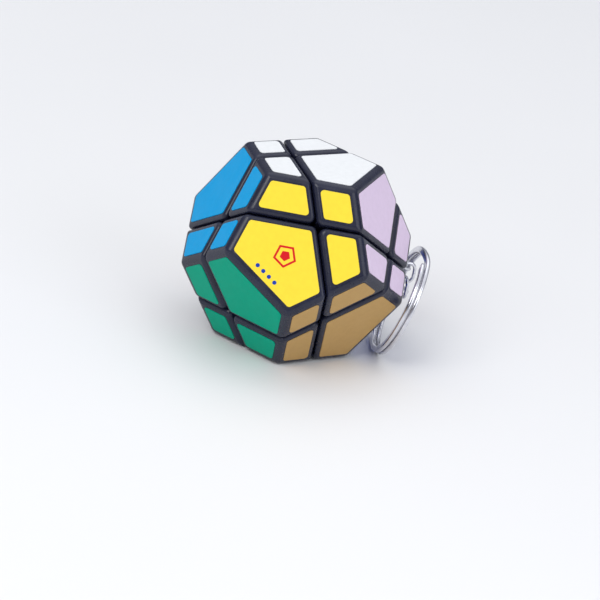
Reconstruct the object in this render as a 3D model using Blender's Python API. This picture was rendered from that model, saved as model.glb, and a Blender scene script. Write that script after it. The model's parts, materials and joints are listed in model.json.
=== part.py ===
"""Dodecahedral twisty puzzle on a key ring.

A dodecahedron is cut by four planes through its centre, one square to each diagonal of
the cube that its corners hold. That gives 14 outer pieces: four fixed corners screwed to
the core, four free corners and six edge pieces. Each outer piece is a hollow shell on a
foot. The feet share one ball-shaped layer, where every half of the puzzle carries a
tongue that reaches past its cut plane and is held down by the half across the cut.

Puzzle axes: the cube's corners lie at (+-1, +-1, +-1). World axes: the white face is up
and level, the yellow face looks towards -Y, and the puzzle stands on z = 0.
"""
import math

import bmesh
import bpy
from mathutils import Matrix, Vector

MM = 0.001

# Driving dimensions.
FACE_TO_FACE = 42.4 * MM
CUT_GAP = 0.3 * MM          # between two outer pieces, across a cut
SHELL_WALL = 1.2 * MM
EDGE_ROUND = 0.6 * MM
FIT = 0.3 * MM              # running clearance inside the mechanism

CORE_RADIUS = 10.8 * MM     # ball that the feet turn on
FOOT_LAYER = 1.5 * MM       # thickness of the tongues
PLATE = 1.2 * MM            # thickness of the plate that holds the tongues down
PLUG = 1.5 * MM             # height of the plug that the shell is pushed onto
TONGUE = 1.4 * MM           # reach of a tongue past its cut plane
FOOT_COLUMNS = 24           # directions round a foot at which its profile is drawn
FOOT_BALL_SHARES = (0, 0.36, 0.7, 1)  # points from the middle of a foot's ball face to its rim
CORNER_CLEARANCE = 0.07     # least angle between a foot's corner and its next column

SCREW_RADIUS = 0.9 * MM
SCREW_TIP = 5.5 * MM        # heights along an axis are from the puzzle's centre
SCREW_CHAMFER = 0.25 * MM
SCREW_HEAD_RADIUS = 1.9 * MM
SCREW_HEAD = 1.2 * MM
SCREW_SOCKET_RADIUS = 0.85 * MM
SCREW_SOCKET_DEPTH = 0.7 * MM
SPRING_POCKET_RADIUS = 2.2 * MM
SPRING_SEAT = 0.5 * MM      # pocket floor above the underside of the plate
SPRING_RADIUS = 1.62 * MM   # to the middle of the wire
SPRING_WIRE_RADIUS = 0.2 * MM
SPRING_HEIGHT = 3.4 * MM
SPRING_TURNS = 4
SPRING_STEPS = 11           # straight runs of wire in each turn
WASHER_RADIUS = 2.1 * MM
WASHER_THICKNESS = 0.5 * MM

EYELET_RADIUS = 1.9 * MM    # to the middle of the wire
EYELET_WIRE_RADIUS = 0.45 * MM
EYELET_STAND_OFF = 3.2 * MM  # middle of the eye above the face
EYELET_FLANGE_RADIUS = 1.5 * MM
EYELET_FLANGE = 0.5 * MM
EYELET_SHANK_RADIUS = 0.6 * MM
EYELET_SHARE = 0.509        # place on the corner's label, from its inner end to its tip
EYELET_STEPS = 18           # straight runs of wire round the eye

LINK_COUNT = 2
LINK_LENGTH = 4.7 * MM      # tip to tip, to the middle of the wire
LINK_WIDTH = 3.2 * MM
LINK_WIRE_RADIUS = 0.4 * MM
END_LINK_LENGTH = 6.6 * MM
END_LINK_WIDTH = 3.6 * MM
END_LINK_WIRE_RADIUS = 0.45 * MM
END_LINK_TO_BAND = 4.32 * MM  # from the end link's tip to the middle of the ring's band
END_LINK_TURN = math.radians(-67.2)  # from the ring's axis, outwards
LINK_PLAY = 0.3 * MM

RING_OUTER_RADIUS = 12.9 * MM
RING_BAND = 1.6 * MM        # radial width of the flat wire
RING_WIRE = 1.0 * MM        # thickness of the flat wire along the ring's axis
RING_COIL_PITCH = 1.15 * MM
RING_CROSSING = math.radians(44)  # turn over which the wire passes from coil to coil
RING_STEPS = 76
RING_AXIS = Vector((0.958, 0.068, -0.278)).normalized()

PIVOT_MARK = 5 * MM         # drawn size of the empties on the joint axes

# Geometry of the dodecahedron.
GOLDEN = (1 + math.sqrt(5)) / 2
INRADIUS = FACE_TO_FACE / 2
HALF_CUBE = INRADIUS * math.hypot(1, GOLDEN) / GOLDEN ** 2
FACES = [
    Vector(n).normalized()
    for a in (1, -1)
    for b in (1, -1)
    for n in ((a, 0, b * GOLDEN), (a * GOLDEN, b, 0), (0, a * GOLDEN, b))
]
AXES = [Vector(a).normalized() for a in ((1, 1, 1), (1, -1, -1), (-1, 1, -1), (-1, -1, 1))]

UP = Vector((GOLDEN, 1, 0)).normalized()
FRONT = Vector((1, 0, GOLDEN)).normalized()
BACK = (UP * FRONT.dot(UP) - FRONT).normalized()
PUZZLE_TURN = Matrix((BACK.cross(UP), BACK, UP)).to_4x4()
CENTRE = Vector((0, 0, INRADIUS))
PUZZLE = Matrix.Translation(CENTRE) @ PUZZLE_TURN

# Radii of the mechanism's layers, from the centre outwards.
FOOT_BOTTOM = CORE_RADIUS + FIT
TONGUE_TOP = FOOT_BOTTOM + FOOT_LAYER
PLATE_BOTTOM = TONGUE_TOP + FIT
PLATE_TOP = PLATE_BOTTOM + PLATE
PLUG_TOP = PLATE_TOP + PLUG
SHELL_BOTTOM = PLATE_TOP + FIT
SHELL_BASE = 0.6 * SHELL_BOTTOM   # flat end of a shell's solid, before the ball is cut away
HOLLOW_BASE = 0.5 * SHELL_BOTTOM  # flat end of its hollow, past the shell's own end
BORE_TOP = CORE_RADIUS + FIT      # end of a core bore's cutter, outside the ball
POCKET_FLOOR = PLATE_BOTTOM + SPRING_SEAT
BORE_RADIUS = SCREW_RADIUS + FIT
SPRING_BOTTOM = POCKET_FLOOR + SPRING_WIRE_RADIUS + FIT
SPRING_TOP = SPRING_BOTTOM + SPRING_HEIGHT
WASHER_BOTTOM = SPRING_TOP + SPRING_WIRE_RADIUS + FIT
SCREW_HEAD_BOTTOM = WASHER_BOTTOM + WASHER_THICKNESS + FIT

HALF_TURNS = [Matrix.Identity(4)] + [Matrix.Rotation(math.pi, 4, axis) for axis in "XYZ"]
THIRD_TURN = Matrix.Rotation(math.radians(120), 4, AXES[0])

# Each edge piece is the one at +X, carried to its own place.
EDGE_PIECES = {
    "12": HALF_TURNS[0],
    "34": HALF_TURNS[3],
    "13": THIRD_TURN,
    "24": HALF_TURNS[1] @ THIRD_TURN,
    "14": THIRD_TURN @ THIRD_TURN,
    "23": HALF_TURNS[1] @ THIRD_TURN @ THIRD_TURN,
}

# The cuts that bound each kind of piece, as (axis, side). The side is 1 where the piece
# lies in front of the cut and so carries its tongue, and -1 where it lies behind it.
FIXED_CORNER = (AXES[0], [(AXES[1], -1), (AXES[2], -1), (AXES[3], -1)])
FREE_CORNER = (-AXES[0], [(AXES[1], 1), (AXES[2], 1), (AXES[3], 1)])
EDGE_PIECE = (
    Vector((1, 0, 0)),
    [(AXES[0], 1), (AXES[1], 1), (AXES[2], -1), (AXES[3], -1)],
)


def clear_scene():
    for obj in list(bpy.context.scene.objects):
        bpy.data.objects.remove(obj)


def make_material(name, color, roughness, metallic=0.0):
    material = bpy.data.materials.new(name)
    material.use_nodes = True
    shader = material.node_tree.nodes["Principled BSDF"]
    shader.inputs["Base Color"].default_value = (*color, 1)
    shader.inputs["Roughness"].default_value = roughness
    shader.inputs["Metallic"].default_value = metallic
    return material


def add_object(name, mesh, material=None, place=None, parent=None, smooth=True):
    obj = bpy.data.objects.new(name, mesh)
    bpy.context.scene.collection.objects.link(obj)
    if material and not mesh.materials:
        mesh.materials.append(material)
    if smooth:
        mesh.shade_smooth()
        mesh.set_sharp_from_angle(angle=math.radians(30))
    obj.matrix_world = place or Matrix.Identity(4)
    if parent:
        obj.parent = parent
        obj.matrix_parent_inverse = parent.matrix_world.inverted()
    return obj


def add_pivot(name, place):
    pivot = bpy.data.objects.new(name, None)
    bpy.context.scene.collection.objects.link(pivot)
    pivot.empty_display_size = PIVOT_MARK
    pivot.matrix_world = place
    bpy.context.view_layer.update()
    return pivot


def to_mesh(name, bm):
    bmesh.ops.recalc_face_normals(bm, faces=bm.faces)
    mesh = bpy.data.meshes.new(name)
    bm.to_mesh(mesh)
    bm.free()
    return mesh


def side_frame(axis):
    """Two directions square to the axis."""
    side = axis.orthogonal().normalized()
    return side, axis.cross(side)


def axis_frame(axis):
    """Placement whose local Z is the axis."""
    side, other = side_frame(axis)
    return Matrix((side, other, axis)).transposed().to_4x4()


def cut_solid(planes, name):
    """Convex solid behind every (normal, distance) plane."""
    bm = bmesh.new()
    bmesh.ops.create_cube(bm, size=4 * FACE_TO_FACE)
    for normal, distance in planes:
        everything = bm.verts[:] + bm.edges[:] + bm.faces[:]
        cut = bmesh.ops.bisect_plane(
            bm, geom=everything, plane_co=normal * distance, plane_no=normal, clear_outer=True
        )
        rim = [g for g in cut["geom_cut"] if isinstance(g, bmesh.types.BMEdge)]
        if rim:
            bmesh.ops.edgeloop_fill(bm, edges=rim)
    return to_mesh(name, bm)


def loft(columns, closed, name):
    """Surface over columns of points that go once round an axis. A closed column meets
    its own start; an open one ends on the axis, where all the columns share a point."""
    bm = bmesh.new()
    rows = len(columns[0])
    first_ring = 0 if closed else 1
    last_ring = rows if closed else rows - 1
    levels = range(first_ring, last_ring)
    rings = [[bm.verts.new(column[row]) for column in columns] for row in levels]
    count = len(columns)
    pairs = list(zip(rings, rings[1:] + rings[:1])) if closed else list(zip(rings, rings[1:]))
    for lower, upper in pairs:
        for i in range(count):
            j = (i + 1) % count
            bm.faces.new((lower[i], lower[j], upper[j], upper[i]))
    if not closed:
        for pole, ring in ((columns[0][0], rings[0]), (columns[0][-1], rings[-1])):
            tip = bm.verts.new(pole)
            for i in range(count):
                bm.faces.new((tip, ring[i], ring[(i + 1) % count]))
    return to_mesh(name, bm)


def turned(profile, name, segments=16, closed=True):
    """Solid of revolution about local Z from (radius, height) points."""
    columns = []
    for i in range(segments):
        angle = 2 * math.pi * i / segments
        columns.append([(r * math.cos(angle), r * math.sin(angle), h) for r, h in profile])
    return loft(columns, closed, name)


def swept(path, sections, name, closed):
    """Tube whose cross-section at each path point is a ring of points."""
    bm = bmesh.new()
    rings = [[bm.verts.new(p + offset) for offset in ring] for p, ring in zip(path, sections)]
    pairs = list(zip(rings, rings[1:]))
    if closed:
        pairs.append((rings[-1], rings[0]))
    for here, there in pairs:
        for i in range(len(here)):
            j = (i + 1) % len(here)
            bm.faces.new((here[i], here[j], there[j], there[i]))
    if not closed:
        bm.faces.new(rings[0])
        bm.faces.new(reversed(rings[-1]))
    return to_mesh(name, bm)


def round_section(tangent, normal, radius, sides=6):
    other = tangent.cross(normal).normalized()
    inward = other.cross(tangent).normalized()
    angles = [2 * math.pi * (i + 0.5) / sides for i in range(sides)]
    return [inward * radius * math.cos(a) + other * radius * math.sin(a) for a in angles]


def helper(mesh, place):
    """Cutter that is left out of the model."""
    obj = add_object("cutter_" + mesh.name, mesh, place=place, smooth=False)
    obj.hide_render = True
    obj.display_type = "WIRE"
    return obj


def subtract(obj, cutter):
    boolean = obj.modifiers.new("cut_" + cutter.name, "BOOLEAN")
    boolean.operation = "DIFFERENCE"
    boolean.solver = "EXACT"
    boolean.object = cutter


def sphere_mesh(radius, detail, name):
    bm = bmesh.new()
    bmesh.ops.create_icosphere(bm, subdivisions=detail, radius=radius)
    return to_mesh(name, bm)


def cylinder_mesh(radius, low, high, name, segments=16):
    profile = [(0, low), (radius, low), (radius, high), (0, high)]
    return turned(profile, name, segments, closed=False)


# ---------------------------------------------------------------- shells and feet

def shell_planes(kind, inset):
    """Planes of a shell's outside, moved inwards by the inset."""
    axis, cuts = kind
    planes = [(n, INRADIUS - inset) for n in FACES]
    planes += [(-side * cut, -CUT_GAP / 2 - inset) for cut, side in cuts]
    return planes


def shell_meshes(kind, name):
    """The outer solid and the hollow that is taken out of it."""
    axis = kind[0]
    outer = cut_solid(shell_planes(kind, 0) + [(-axis, -SHELL_BASE)], name)
    hollow = cut_solid(shell_planes(kind, SHELL_WALL) + [(-axis, -HOLLOW_BASE)], name + "_hollow")
    return outer, hollow


def add_shell(name, meshes, material, place, inner_ball, parent):
    outer, hollow = meshes
    shell = add_object(name, outer, material, place, parent)
    bevel = shell.modifiers.new("edge_round", "BEVEL")
    bevel.width = EDGE_ROUND
    bevel.segments = 2
    bevel.limit_method = "ANGLE"
    bevel.angle_limit = math.radians(25)
    subtract(shell, helper(hollow, place))
    subtract(shell, inner_ball)
    return shell


def reach(axis, direction, cuts, distances, radius):
    """Angle from the axis, towards direction, at which the first cut is met."""
    angles = []
    for (cut, side), distance in zip(cuts, distances):
        # side * cut . (axis cos t + direction sin t) falls to distance / radius
        along, across = side * cut.dot(axis), side * cut.dot(direction)
        size = math.hypot(along, across)
        level = distance / radius / size
        angles.append(math.atan2(across, along) + math.acos(level))
    return min(angle % (2 * math.pi) for angle in angles)


def foot_columns(kind, bored):
    """Profile of a foot for every direction round its axis, from the ball outwards."""
    axis, cuts = kind
    side, other = side_frame(axis)
    layer = [-(TONGUE - FIT / 2) if s > 0 else TONGUE + FIT / 2 for cut, s in cuts]
    plate = [CUT_GAP / 2] * len(cuts)
    plug = [CUT_GAP / 2 + SHELL_WALL + FIT] * len(cuts)
    middle = (FOOT_BOTTOM + TONGUE_TOP) / 2

    def corner_turns(distances, radius):
        """Directions in which two of the cuts are met at once."""
        fine = 30 * FOOT_COLUMNS
        turns = []
        nearest = []
        for i in range(fine):
            turn = 2 * math.pi * i / fine
            direction = side * math.cos(turn) + other * math.sin(turn)
            each = [reach(axis, direction, [c], [d], radius) for c, d in zip(cuts, distances)]
            nearest.append(each.index(min(each)))
        for i in range(fine):
            if nearest[i] != nearest[i - 1]:
                turns.append(2 * math.pi * (i - 0.5) / fine)
        return turns

    turns = {round(2 * math.pi * i / FOOT_COLUMNS, 5) for i in range(FOOT_COLUMNS)}
    corners = corner_turns(layer, middle) + corner_turns(plate, PLATE_TOP)
    for corner in corners:
        clear = {t for t in turns if abs(t - corner) > CORNER_CLEARANCE}
        turns = clear | {round(corner % (2 * math.pi), 5)}
    columns = []
    for turn in sorted(turns):
        direction = side * math.cos(turn) + other * math.sin(turn)

        def at(radius, angle):
            return (axis * math.cos(angle) + direction * math.sin(angle)) * radius

        def on(offset, height):
            return axis * height + direction * offset

        in_layer = reach(axis, direction, cuts, layer, middle)
        in_plate = reach(axis, direction, cuts, plate, PLATE_BOTTOM)
        in_plug = reach(axis, direction, cuts, plug, PLATE_TOP)
        step = TONGUE_TOP if in_layer > in_plate else PLATE_BOTTOM
        inner = math.asin(BORE_RADIUS / FOOT_BOTTOM) if bored else 0
        column = [at(FOOT_BOTTOM, inner + (in_layer - inner) * s) for s in FOOT_BALL_SHARES]
        column += [at(step, in_layer), at(step, in_plate)]
        column += [at(PLATE_TOP, in_plate), at(PLATE_TOP, in_plug), at(PLUG_TOP, in_plug)]
        if bored:
            rim = math.sqrt(PLUG_TOP ** 2 - SPRING_POCKET_RADIUS ** 2)
            column += [on(SPRING_POCKET_RADIUS, rim), on(SPRING_POCKET_RADIUS, POCKET_FLOOR)]
            column += [on(BORE_RADIUS, POCKET_FLOOR)]
        else:
            column += [at(PLUG_TOP, in_plug / 2), at(PLUG_TOP, 0)]
        columns.append(column)
    return columns


# ---------------------------------------------------------------- core and fasteners

def add_core(material, parent):
    core = add_object("core_ball", sphere_mesh(CORE_RADIUS, 3, "core_ball"), material, PUZZLE, parent)
    bore = cylinder_mesh(BORE_RADIUS, SCREW_TIP - FIT, BORE_TOP, "screw_bore")
    for axis in AXES:
        subtract(core, helper(bore, PUZZLE @ axis_frame(axis)))
    return core


def screw_mesh():
    top = SCREW_HEAD_BOTTOM + SCREW_HEAD
    profile = [
        (0, SCREW_TIP),
        (SCREW_RADIUS - SCREW_CHAMFER, SCREW_TIP),
        (SCREW_RADIUS, SCREW_TIP + 2 * SCREW_CHAMFER),
        (SCREW_RADIUS, SCREW_HEAD_BOTTOM),
        (SCREW_HEAD_RADIUS, SCREW_HEAD_BOTTOM),
        (SCREW_HEAD_RADIUS, top - 2 * SCREW_CHAMFER),
        (SCREW_HEAD_RADIUS - 2 * SCREW_CHAMFER, top),
        (SCREW_SOCKET_RADIUS, top),
        (SCREW_SOCKET_RADIUS, top - SCREW_SOCKET_DEPTH),
        (0, top - SCREW_SOCKET_DEPTH),
    ]
    return turned(profile, "axle_screw", closed=False)


def washer_mesh():
    inner, outer = BORE_RADIUS, WASHER_RADIUS
    low, high = WASHER_BOTTOM, WASHER_BOTTOM + WASHER_THICKNESS
    return turned([(inner, low), (outer, low), (outer, high), (inner, high)], "washer")


def spring_mesh():
    steps = SPRING_STEPS * SPRING_TURNS
    climb = SPRING_HEIGHT / (2 * math.pi * SPRING_TURNS * SPRING_RADIUS)
    path, sections = [], []
    for i in range(steps + 1):
        angle = 2 * math.pi * SPRING_TURNS * i / steps
        out = Vector((math.cos(angle), math.sin(angle), 0))
        tangent = Vector((-out.y, out.x, climb)).normalized()
        path.append(out * SPRING_RADIUS + Vector((0, 0, SPRING_BOTTOM + SPRING_HEIGHT * i / steps)))
        sections.append(round_section(tangent, out, SPRING_WIRE_RADIUS, 5))
    return swept(path, sections, "tension_spring", closed=False)


# ---------------------------------------------------------------- key chain

def wire_loop(points, name, radius, sides=6):
    """Closed loop of round wire through points in local XZ."""
    count = len(points)
    sections = []
    for i, point in enumerate(points):
        tangent = (points[(i + 1) % count] - points[i - 1]).normalized()
        inward = Vector((0, 1, 0)).cross(tangent)
        sections.append(round_section(tangent, inward, radius, sides))
    return swept(points, sections, name, closed=True)


def oval(length, width, steps_per_end=6):
    """Points of an oval with its long way along Z."""
    bend = width / 2
    straight = (length - width) / 2
    points = []
    for end in (0, 1):
        for i in range(steps_per_end + 1):
            angle = math.pi * (end + i / steps_per_end)
            rise = straight if end == 0 else -straight
            points.append(Vector((bend * math.cos(angle), 0, rise + bend * math.sin(angle))))
    return points


def rivet_mesh():
    """Head inside the wall, shank through it, flange outside it and the eye's neck. The
    face is at local z = 0."""
    head_top = -SHELL_WALL - FIT
    neck = EYELET_STAND_OFF - EYELET_RADIUS
    profile = [
        (0, head_top - EYELET_FLANGE),
        (EYELET_FLANGE_RADIUS, head_top - EYELET_FLANGE),
        (EYELET_FLANGE_RADIUS, head_top),
        (EYELET_SHANK_RADIUS, head_top),
        (EYELET_SHANK_RADIUS, FIT),
        (EYELET_FLANGE_RADIUS, FIT),
        (EYELET_FLANGE_RADIUS, FIT + EYELET_FLANGE / 2),
        (EYELET_SHANK_RADIUS, FIT + EYELET_FLANGE),
        (EYELET_SHANK_RADIUS, neck),
        (0, neck),
    ]
    return turned(profile, "eyelet_rivet", 12, closed=False)


def ring_mesh():
    """Two coils of flat wire, side by side, joined by one short crossing."""
    middle = RING_OUTER_RADIUS - RING_BAND / 2
    crossing = RING_CROSSING / 2
    start, end = crossing, 4 * math.pi - crossing
    path, sections = [], []
    for i in range(RING_STEPS + 1):
        angle = start + (end - start) * i / RING_STEPS
        out = Vector((math.cos(angle), math.sin(angle), 0))
        share = min(max((angle - 2 * math.pi + crossing) / (2 * crossing), 0), 1)
        height = RING_COIL_PITCH * (share * share * (3 - 2 * share) - 0.5)
        path.append(out * middle + Vector((0, 0, height)))
        wide, thick = out * RING_BAND / 2, Vector((0, 0, RING_WIRE / 2))
        sections.append([-wide - thick, wide - thick, wide + thick, -wide + thick])
    return swept(path, sections, "split_ring", closed=False)


def frame_at(origin, x_axis, z_axis):
    """Placement with the given origin, local X and local Z."""
    y_axis = z_axis.cross(x_axis)
    return Matrix.Translation(origin) @ Matrix((x_axis, y_axis, z_axis)).transposed().to_4x4()


def add_eyelet(material, spot, outward, along, shell):
    """Eye riveted through the shell's wall at the spot. It lies in the plane of the
    outward direction and the one along the face."""
    place = frame_at(spot, along, outward)
    turn = [2 * math.pi * i / EYELET_STEPS for i in range(EYELET_STEPS)]
    middle = Vector((0, 0, EYELET_STAND_OFF))
    eye = [middle + EYELET_RADIUS * Vector((math.cos(a), 0, math.sin(a))) for a in turn]
    eyelet = add_object("eyelet", wire_loop(eye, "eyelet", EYELET_WIRE_RADIUS, 8), material, place)
    join = eyelet.modifiers.new("rivet", "BOOLEAN")
    join.operation = "UNION"
    join.solver = "EXACT"
    join.object = helper(rivet_mesh(), place)
    hole = cylinder_mesh(EYELET_SHANK_RADIUS + FIT, -3 * SHELL_WALL, SHELL_WALL, "eyelet_hole", 12)
    subtract(shell, helper(hole, place))


def add_links(material, hook, outward_level, along):
    """Links that hang from the hook, each turned a quarter from the last. Returns the
    middle of the wire at the lowest link's bottom."""
    up = Vector((0, 0, 1))
    mesh = wire_loop(oval(LINK_LENGTH, LINK_WIDTH), "chain_link", LINK_WIRE_RADIUS)
    held_by = EYELET_WIRE_RADIUS
    for number in range(1, LINK_COUNT + 1):
        top = hook + up * (held_by + LINK_PLAY + LINK_WIRE_RADIUS)
        wide = outward_level if number % 2 else along
        pivot = add_pivot(f"chain_link_{number}_pivot", Matrix.Translation(hook))
        place = frame_at(top - up * LINK_LENGTH / 2, wide, up)
        add_object(f"chain_link_{number}", mesh, material, place, pivot)
        hook = top - up * LINK_LENGTH
        held_by = LINK_WIRE_RADIUS
    return hook


def add_split_ring(material, hook):
    """Ring that stands on z = 0, and the long link that joins it to the hook."""
    up = Vector((0, 0, 1))
    tip = hook + up * (LINK_WIRE_RADIUS + LINK_PLAY + END_LINK_WIRE_RADIUS)
    sideways = RING_AXIS * math.cos(END_LINK_TURN)
    outwards = math.sin(END_LINK_TURN)
    highest = (up - RING_AXIS * up.dot(RING_AXIS)).normalized()
    rearmost = highest.cross(RING_AXIS)
    middle = RING_OUTER_RADIUS - RING_BAND / 2
    thickness = RING_COIL_PITCH + RING_WIRE
    rise = RING_OUTER_RADIUS * highest.z + thickness / 2 * abs(RING_AXIS.z)

    # The end link's height says how far round the ring it sits.
    drop = rise - tip.z + END_LINK_TO_BAND * sideways.z
    share = -drop / (middle + END_LINK_TO_BAND * outwards) / highest.z
    out = highest * share + rearmost * math.sqrt(1 - share * share)
    long_way = sideways + out * outwards
    tangent = RING_AXIS.cross(out)
    centre = tip - long_way * END_LINK_TO_BAND - out * middle

    end_link = wire_loop(oval(END_LINK_LENGTH, END_LINK_WIDTH), "end_link", END_LINK_WIRE_RADIUS)
    place = frame_at(tip - long_way * END_LINK_LENGTH / 2, tangent.cross(long_way), long_way)
    pivot = add_pivot("end_link_pivot", Matrix.Translation(hook))
    add_object("end_link", end_link, material, place, pivot)
    add_object("split_ring", ring_mesh(), material, frame_at(centre, highest, RING_AXIS))


def add_pieces(puzzle, inner_ball, body_black, mechanism_black):
    fixed_foot = loft(foot_columns(FIXED_CORNER, bored=True), True, "fixed_corner_foot")
    free_foot = loft(foot_columns(FREE_CORNER, bored=False), False, "free_corner_foot")
    edge_foot = loft(foot_columns(EDGE_PIECE, bored=False), False, "edge_piece_foot")
    fixed_shell = shell_meshes(FIXED_CORNER, "fixed_corner_shell")
    free_shell = shell_meshes(FREE_CORNER, "free_corner_shell")
    edge_shell = shell_meshes(EDGE_PIECE, "edge_piece_shell")
    corners = {str(i + 1): turn for i, turn in enumerate(HALF_TURNS)}
    kinds = (
        ("fixed_corner", corners, fixed_shell, fixed_foot),
        ("free_corner", corners, free_shell, free_foot),
        ("edge_piece", EDGE_PIECES, edge_shell, edge_foot),
    )
    for kind, places, shell, foot in kinds:
        for number, turn in places.items():
            name = f"{kind}_{number}"
            add_shell(name + "_shell", shell, body_black, PUZZLE @ turn, inner_ball, puzzle)
            add_object(name + "_foot", foot, mechanism_black, PUZZLE @ turn, puzzle)


def add_fasteners(puzzle, steel):
    meshes = {"axle_screw": screw_mesh(), "tension_spring": spring_mesh(), "washer": washer_mesh()}
    for number, axis in enumerate(AXES, 1):
        for name, mesh in meshes.items():
            add_object(f"{name}_{number}", mesh, steel, PUZZLE @ axis_frame(axis), puzzle)


def add_key_chain(chrome):
    face = Vector((0, -GOLDEN, -1)).normalized()
    outward = (PUZZLE_TURN @ face.to_4d()).to_3d()
    along = Vector((0, 0, 1)).cross(outward).normalized()
    spot = PUZZLE @ (Vector((EYELET_SHARE, -1, -1)) * HALF_CUBE)
    add_eyelet(chrome, spot, outward, along, bpy.data.objects["fixed_corner_2_shell"])
    hook = spot + outward * (EYELET_STAND_OFF + EYELET_RADIUS)
    hook = add_links(chrome, hook, along.cross(Vector((0, 0, 1))), along)
    add_split_ring(chrome, hook)


def main():
    clear_scene()
    body_black = make_material("puzzle_black", (0.012, 0.012, 0.016), 0.35)
    mechanism_black = make_material("mechanism_black", (0.02, 0.02, 0.022), 0.45)
    core_white = make_material("core_white", (0.75, 0.75, 0.72), 0.4)
    steel = make_material("steel", (0.55, 0.55, 0.57), 0.3, 1.0)
    chrome = make_material("chrome", (0.8, 0.8, 0.82), 0.12, 1.0)

    puzzle = add_pivot("puzzle_centre", PUZZLE)
    inner_ball = helper(sphere_mesh(SHELL_BOTTOM, 3, "inner_ball"), PUZZLE)
    add_core(core_white, puzzle)
    add_pieces(puzzle, inner_ball, body_black, mechanism_black)
    add_fasteners(puzzle, steel)
    add_key_chain(chrome)


if __name__ == "__main__":
    main()
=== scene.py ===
"""Looks of a dodecahedral twisty puzzle on a key ring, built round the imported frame.

Each moulded shell is redrawn with round edges and carries its own thin labels, four on
every face of the dodecahedron. The eyelet, the links and the split ring are redrawn as bent
wire, and the core, screws, springs and washers as turned and coiled parts. The feet under
the shells keep their CAD shape and get a finished material.

Puzzle axes: the corners of the cube inside the dodecahedron lie at (+-1, +-1, +-1).
"""
import json
import math

import bmesh
import bpy
from mathutils import Matrix, Vector


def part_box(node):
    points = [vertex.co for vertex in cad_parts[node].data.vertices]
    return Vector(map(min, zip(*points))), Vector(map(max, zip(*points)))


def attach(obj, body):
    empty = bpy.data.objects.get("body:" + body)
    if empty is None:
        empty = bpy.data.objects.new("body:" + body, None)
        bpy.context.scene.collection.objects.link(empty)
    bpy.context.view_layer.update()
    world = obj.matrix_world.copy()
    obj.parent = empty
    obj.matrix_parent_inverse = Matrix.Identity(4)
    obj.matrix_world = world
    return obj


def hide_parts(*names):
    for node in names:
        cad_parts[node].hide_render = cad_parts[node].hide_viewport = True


MM = 0.001
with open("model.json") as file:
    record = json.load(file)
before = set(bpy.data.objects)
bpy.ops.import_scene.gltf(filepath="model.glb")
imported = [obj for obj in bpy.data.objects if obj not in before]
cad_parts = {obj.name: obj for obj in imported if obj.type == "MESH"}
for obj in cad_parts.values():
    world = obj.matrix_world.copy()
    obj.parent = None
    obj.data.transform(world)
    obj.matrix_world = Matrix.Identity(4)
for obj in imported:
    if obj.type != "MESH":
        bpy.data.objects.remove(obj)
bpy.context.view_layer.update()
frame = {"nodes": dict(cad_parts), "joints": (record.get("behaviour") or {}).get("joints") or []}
JOINTS = {joint["name"]: joint for joint in frame["joints"]}

# ---------------------------------------------------------------- sizes

CUT_GAP = 0.3 * MM           # between two outer pieces, across a cut
SHELL_WALL = 1.2 * MM
EDGE_ROUND = 1.1 * MM
EDGE_SEGMENTS = 5
CORNER_ROUND = 1.5 * MM      # where two cuts meet
CORNER_SEGMENTS = 7
SHELL_BASE = 0.6             # flat end of a shell's solid, in radii of the ball cut from it
HOLLOW_BASE = 0.5            # flat end of its hollow, nearer to the centre

LABEL_THICKNESS = 0.16 * MM
LABEL_SINK = 0.02 * MM       # the label's underside lies this far inside the shell
LABEL_MARGIN = 1.5 * MM      # from a cut's middle or from the dodecahedron's edge
LABEL_CORNER = 0.75 * MM
LABEL_EDGE = 0.07 * MM       # round of the label's top edge
LABEL_EDGE_STEPS = 3

INK = 0.012 * MM             # thickness of the printed motif
MOTIF_RADIUS = 2.6 * MM
MOTIF_LINE = 0.55 * MM
MOTIF_MIDDLE_RADIUS = 1.17 * MM
MOTIF_HEIGHT = 0.62          # from the cube's edge towards the roof edge, in half cubes
DOTS = 4
DOT_RADIUS = 0.45 * MM
DOT_POINTS = 28
DOT_SPACING = 1.7 * MM
DOT_MARGIN = 1.5 * MM        # from the label's side to the middle of the dots

EYE_RADIUS = 1.9 * MM        # to the middle of the wire
EYE_POINTS = 56
EYE_WIRE = 0.45 * MM         # radius of the wire
EYE_STAND_OFF = 3.2 * MM     # middle of the eye above the face
FLANGE_RADIUS = 1.5 * MM
FLANGE = 0.55 * MM
FLANGE_LIP = 0.1 * MM        # height and taper of the outer flange's edge
SHANK_RADIUS = 0.6 * MM
SHANK_FIT = 0.2 * MM

LINK_LENGTH = 4.7 * MM       # tip to tip, to the middle of the wire
LINK_WIDTH = 3.2 * MM
LINK_WIRE = 0.4 * MM
LINK_PLAY = 0.3 * MM
LINK_SLIT = 0.07 * MM        # where the bent wire's two ends meet
END_LINK_LENGTH = 6.6 * MM
END_LINK_WIDTH = 3.6 * MM
END_LINK_WIRE = 0.45 * MM
END_LINK_TURN = math.radians(-67.2)  # from the ring's axis, outwards

RING_OUTER_RADIUS = 12.9 * MM
RING_BAND = 1.6 * MM         # radial width of the flat wire
RING_WIRE = 1.0 * MM         # its thickness along the ring's axis
RING_WIRE_ROUND = 0.38 * MM
RING_ROUND_STEPS = 4
RING_COIL_PITCH = 1.15 * MM
RING_CROSSING = math.radians(44)  # turn over which the wire passes from coil to coil
RING_STEPS = 260
RING_END_SIZES = (0.7, 0.9, 0.97, 1)  # of the wire's section, from each end inwards

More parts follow.
